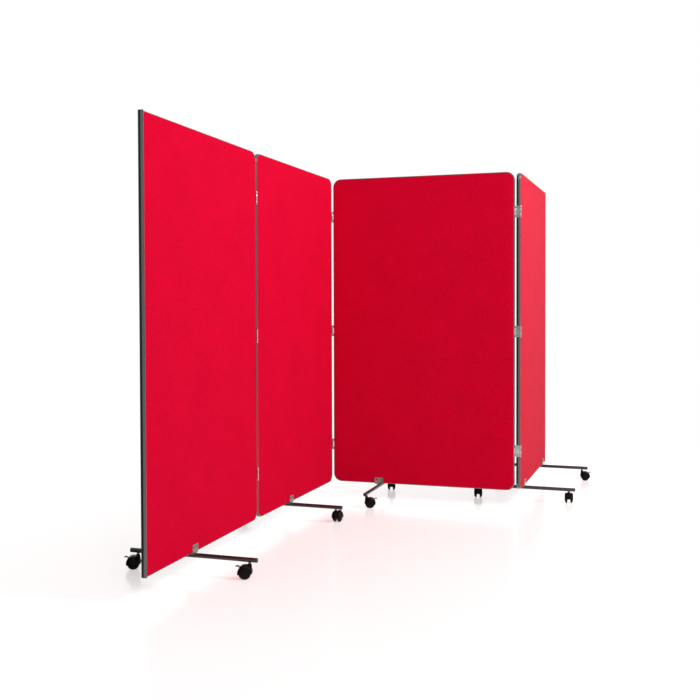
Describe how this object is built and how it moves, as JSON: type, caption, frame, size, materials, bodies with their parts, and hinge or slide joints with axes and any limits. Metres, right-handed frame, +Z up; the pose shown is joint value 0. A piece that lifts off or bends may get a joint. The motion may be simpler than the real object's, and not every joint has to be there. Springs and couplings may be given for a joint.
{
  "type": "rolling partition",
  "caption": "Folding room divider of tall cloth-covered panels with rounded corners and edge moulding, joined by double-action hinges and rolling on braked castors under cross rails.",
  "frame": {"origin": "middle of the whole object's base on the floor, as it stands at rest", "axes": "+Z up, +Y along the first and second panels from the free end towards the third, +X along the third panel"},
  "size_m": [1.8004, 3.2894, 1.901],
  "materials": {
    "board_core": "raw edge, hidden",
    "red_loop_cloth": "matt loop pile",
    "edge_moulding": "satin",
    "hinge_steel": "zinc plated",
    "rail_enamel": "satin",
    "bracket_enamel": "satin",
    "castor_nylon": "semi-gloss",
    "wheel_nylon": "semi-gloss",
    "lever_nylon": "semi-gloss"
  },
  "bodies": {
    "panel_1": {"panel_1_board": "board_core", "panel_1_fabric": "red_loop_cloth", "panel_1_edge_trim": "edge_moulding", "panel_1_hinge_leaves": "hinge_steel", "panel_1_foot_rail": "rail_enamel", "panel_1_foot_bracket": "bracket_enamel"},
    "panel_2": {"panel_2_board": "board_core", "panel_2_fabric": "red_loop_cloth", "panel_2_edge_trim": "edge_moulding", "panel_2_hinge_leaves": "hinge_steel", "panel_2_foot_rail": "rail_enamel", "panel_2_foot_bracket": "bracket_enamel"},
    "panel_3": {"panel_3_board": "board_core", "panel_3_fabric": "red_loop_cloth", "panel_3_edge_trim": "edge_moulding", "panel_3_hinge_leaves": "hinge_steel", "panel_3_foot_rail": "rail_enamel", "panel_3_foot_bracket": "bracket_enamel"},
    "panel_4": {"panel_4_board": "board_core", "panel_4_fabric": "red_loop_cloth", "panel_4_edge_trim": "edge_moulding", "panel_4_hinge_leaves": "hinge_steel", "panel_4_foot_rail": "rail_enamel", "panel_4_foot_bracket": "bracket_enamel"},
    "hinge_12": {"hinge_12_links": "hinge_steel", "hinge_12_pins": "hinge_steel"},
    "hinge_23": {"hinge_23_links": "hinge_steel", "hinge_23_pins": "hinge_steel"},
    "hinge_34": {"hinge_34_links": "hinge_steel", "hinge_34_pins": "hinge_steel"},
    "castor_1": {"castor_1_hood": "castor_nylon"},
    "castor_1_wheel_pair": {"castor_1_wheels": "wheel_nylon"},
    "castor_1_brake": {"castor_1_brake_lever": "lever_nylon"},
    "castor_2": {"castor_2_hood": "castor_nylon"},
    "castor_2_wheel_pair": {"castor_2_wheels": "wheel_nylon"},
    "castor_2_brake": {"castor_2_brake_lever": "lever_nylon"},
    "castor_3": {"castor_3_hood": "castor_nylon"},
    "castor_3_wheel_pair": {"castor_3_wheels": "wheel_nylon"},
    "castor_3_brake": {"castor_3_brake_lever": "lever_nylon"},
    "castor_4": {"castor_4_hood": "castor_nylon"},
    "castor_4_wheel_pair": {"castor_4_wheels": "wheel_nylon"},
    "castor_4_brake": {"castor_4_brake_lever": "lever_nylon"},
    "castor_5": {"castor_5_hood": "castor_nylon"},
    "castor_5_wheel_pair": {"castor_5_wheels": "wheel_nylon"},
    "castor_5_brake": {"castor_5_brake_lever": "lever_nylon"},
    "castor_6": {"castor_6_hood": "castor_nylon"},
    "castor_6_wheel_pair": {"castor_6_wheels": "wheel_nylon"},
    "castor_6_brake": {"castor_6_brake_lever": "lever_nylon"},
    "castor_7": {"castor_7_hood": "castor_nylon"},
    "castor_7_wheel_pair": {"castor_7_wheels": "wheel_nylon"},
    "castor_7_brake": {"castor_7_brake_lever": "lever_nylon"},
    "castor_8": {"castor_8_hood": "castor_nylon"},
    "castor_8_wheel_pair": {"castor_8_wheels": "wheel_nylon"},
    "castor_8_brake": {"castor_8_brake_lever": "lever_nylon"},
    "castor_9": {"castor_9_hood": "castor_nylon"},
    "castor_9_wheel_pair": {"castor_9_wheels": "wheel_nylon"},
    "castor_9_brake": {"castor_9_brake_lever": "lever_nylon"},
    "castor_10": {"castor_10_hood": "castor_nylon"},
    "castor_10_wheel_pair": {"castor_10_wheels": "wheel_nylon"},
    "castor_10_brake": {"castor_10_brake_lever": "lever_nylon"}
  },
  "joints": [
    {"name": "hinge_12_right_pin", "type": "hinge", "parent": "panel_2", "child": "hinge_12", "pos_m": [-0.5641, -0.55823, 0.997], "axis": [0, 0, 1], "range_deg": [-1, 179]},
    {"name": "hinge_12_left_pin", "type": "hinge", "parent": "hinge_12", "child": "panel_1", "pos_m": [-0.5911, -0.55823, 0.997], "axis": [0, 0, -1], "range_deg": [0, 180]},
    {"name": "hinge_23_left_pin", "type": "hinge", "parent": "panel_2", "child": "hinge_23", "pos_m": [-0.57208, 0.53208, 0.997], "axis": [0, 0, 1], "range_deg": [0, 180]},
    {"name": "hinge_23_right_pin", "type": "hinge", "parent": "hinge_23", "child": "panel_3", "pos_m": [-0.54508, 0.5316, 0.997], "axis": [0, 0, -1], "range_deg": [-89, 91]},
    {"name": "hinge_34_left_pin", "type": "hinge", "parent": "panel_3", "child": "hinge_34", "pos_m": [0.54492, 0.5586, 0.997], "axis": [0, 0, 1], "range_deg": [-89, 91]},
    {"name": "hinge_34_right_pin", "type": "hinge", "parent": "hinge_34", "child": "panel_4", "pos_m": [0.57191, 0.55813, 0.997], "axis": [0, 0, -1], "range_deg": [0, 180]},
    {"name": "castor_1_swivel", "type": "hinge", "parent": "panel_1", "child": "castor_1", "pos_m": [-0.31261, -1.23223, 0.05], "axis": [0, 0, 1], "continuous": true},
    {"name": "castor_1_roll", "type": "hinge", "parent": "castor_1", "child": "castor_1_wheel_pair", "pos_m": [-0.33173, -1.23808, 0.027], "axis": [0.2924, -0.9563, 0], "continuous": true},
    {"name": "castor_1_brake_pedal", "type": "hinge", "parent": "castor_1", "child": "castor_1_brake", "pos_m": [-0.34416, -1.24188, 0.04], "axis": [0.2924, -0.9563, 0], "range_deg": [0, 16]},
    {"name": "castor_2_swivel", "type": "hinge", "parent": "panel_1", "child": "castor_2", "pos_m": [-0.84261, -1.23223, 0.05], "axis": [0, 0, 1], "continuous": true},
    {"name": "castor_2_roll", "type": "hinge", "parent": "castor_2", "child": "castor_2_wheel_pair", "pos_m": [-0.86088, -1.24036, 0.027], "axis": [0.4067, -0.9135, 0], "continuous": true},
    {"name": "castor_2_brake_pedal", "type": "hinge", "parent": "castor_2", "child": "castor_2_brake", "pos_m": [-0.87275, -1.24565, 0.04], "axis": [0.4067, -0.9135, 0], "range_deg": [0, 16]},
    {"name": "castor_3_swivel", "type": "hinge", "parent": "panel_2", "child": "castor_3", "pos_m": [-0.30501, -0.12518, 0.05], "axis": [0, 0, 1], "continuous": true},
    {"name": "castor_3_roll", "type": "hinge", "parent": "castor_3", "child": "castor_3_wheel_pair", "pos_m": [-0.30292, -0.10529, 0.027], "axis": [-0.9945, 0.1045, 0], "continuous": true},
    {"name": "castor_3_brake_pedal", "type": "hinge", "parent": "castor_3", "child": "castor_3_brake", "pos_m": [-0.30156, -0.09237, 0.04], "axis": [-0.9945, 0.1045, 0], "range_deg": [0, 16]},
    {"name": "castor_4_swivel", "type": "hinge", "parent": "panel_2", "child": "castor_4", "pos_m": [-0.83493, -0.11594, 0.05], "axis": [0, 0, 1], "continuous": true},
    {"name": "castor_4_roll", "type": "hinge", "parent": "castor_4", "child": "castor_4_wheel_pair", "pos_m": [-0.85225, -0.10594, 0.027], "axis": [-0.5, -0.866, 0], "continuous": true},
    {"name": "castor_4_brake_pedal", "type": "hinge", "parent": "castor_4", "child": "castor_4_brake", "pos_m": [-0.86351, -0.09944, 0.04], "axis": [-0.5, -0.866, 0], "range_deg": [0, 16]},
    {"name": "castor_5_swivel", "type": "hinge", "parent": "panel_3", "child": "castor_5", "pos_m": [-0.25808, 0.2801, 0.05], "axis": [0, 0, 1], "continuous": true},
    {"name": "castor_5_roll", "type": "hinge", "parent": "castor_5", "child": "castor_5_wheel_pair", "pos_m": [-0.23868, 0.28494, 0.027], "axis": [-0.2419, 0.9703, 0], "continuous": true},
    {"name": "castor_5_brake_pedal", "type": "hinge", "parent": "castor_5", "child": "castor_5_brake", "pos_m": [-0.22606, 0.28809, 0.04], "axis": [-0.2419, 0.9703, 0], "range_deg": [0, 16]},
    {"name": "castor_6_swivel", "type": "hinge", "parent": "panel_3", "child": "castor_6", "pos_m": [-0.25808, 0.8101, 0.05], "axis": [0, 0, 1], "continuous": true},
    {"name": "castor_6_roll", "type": "hinge", "parent": "castor_6", "child": "castor_6_wheel_pair", "pos_m": [-0.26292, 0.82951, 0.027], "axis": [-0.9703, -0.2419, 0], "continuous": true},
    {"name": "castor_6_brake_pedal", "type": "hinge", "parent": "castor_6", "child": "castor_6_brake", "pos_m": [-0.26606, 0.84212, 0.04], "axis": [-0.9703, -0.2419, 0], "range_deg": [0, 16]},
    {"name": "castor_7_swivel", "type": "hinge", "parent": "panel_4", "child": "castor_7", "pos_m": [0.82651, 0.73322, 0.05], "axis": [0, 0, 1], "continuous": true},
    {"name": "castor_7_roll", "type": "hinge", "parent": "castor_7", "child": "castor_7_wheel_pair", "pos_m": [0.82442, 0.75311, 0.027], "axis": [-0.9945, -0.1045, 0], "continuous": true},
    {"name": "castor_7_brake_pedal", "type": "hinge", "parent": "castor_7", "child": "castor_7_brake", "pos_m": [0.82306, 0.76604, 0.04], "axis": [-0.9945, -0.1045, 0], "range_deg": [0, 16]},
    {"name": "castor_8_swivel", "type": "hinge", "parent": "panel_4", "child": "castor_8", "pos_m": [0.29659, 0.74247, 0.05], "axis": [0, 0, 1], "continuous": true},
    {"name": "castor_8_roll", "type": "hinge", "parent": "castor_8", "child": "castor_8_wheel_pair", "pos_m": [0.29277, 0.7621, 0.027], "axis": [-0.9816, -0.1908, 0], "continuous": true},
    {"name": "castor_8_brake_pedal", "type": "hinge", "parent": "castor_8", "child": "castor_8_brake", "pos_m": [0.29029, 0.77486, 0.04], "axis": [-0.9816, -0.1908, 0], "range_deg": [0, 16]},
    {"name": "castor_9_swivel", "type": "hinge", "parent": "panel_4", "child": "castor_9", "pos_m": [0.8402, 1.51785, 0.05], "axis": [0, 0, 1], "continuous": true},
    {"name": "castor_9_roll", "type": "hinge", "parent": "castor_9", "child": "castor_9_wheel_pair", "pos_m": [0.8601, 1.51994, 0.027], "axis": [-0.1045, 0.9945, 0], "continuous": true},
    {"name": "castor_9_brake_pedal", "type": "hinge", "parent": "castor_9", "child": "castor_9_brake", "pos_m": [0.87302, 1.5213, 0.04], "axis": [-0.1045, 0.9945, 0], "range_deg": [0, 16]},
    {"name": "castor_10_swivel", "type": "hinge", "parent": "panel_4", "child": "castor_10", "pos_m": [0.31028, 1.5271, 0.05], "axis": [0, 0, 1], "continuous": true},
    {"name": "castor_10_roll", "type": "hinge", "parent": "castor_10", "child": "castor_10_wheel_pair", "pos_m": [0.29106, 1.52158, 0.027], "axis": [0.2756, -0.9613, 0], "continuous": true},
    {"name": "castor_10_brake_pedal", "type": "hinge", "parent": "castor_10", "child": "castor_10_brake", "pos_m": [0.27856, 1.518, 0.04], "axis": [0.2756, -0.9613, 0], "range_deg": [0, 16]}
  ]
}
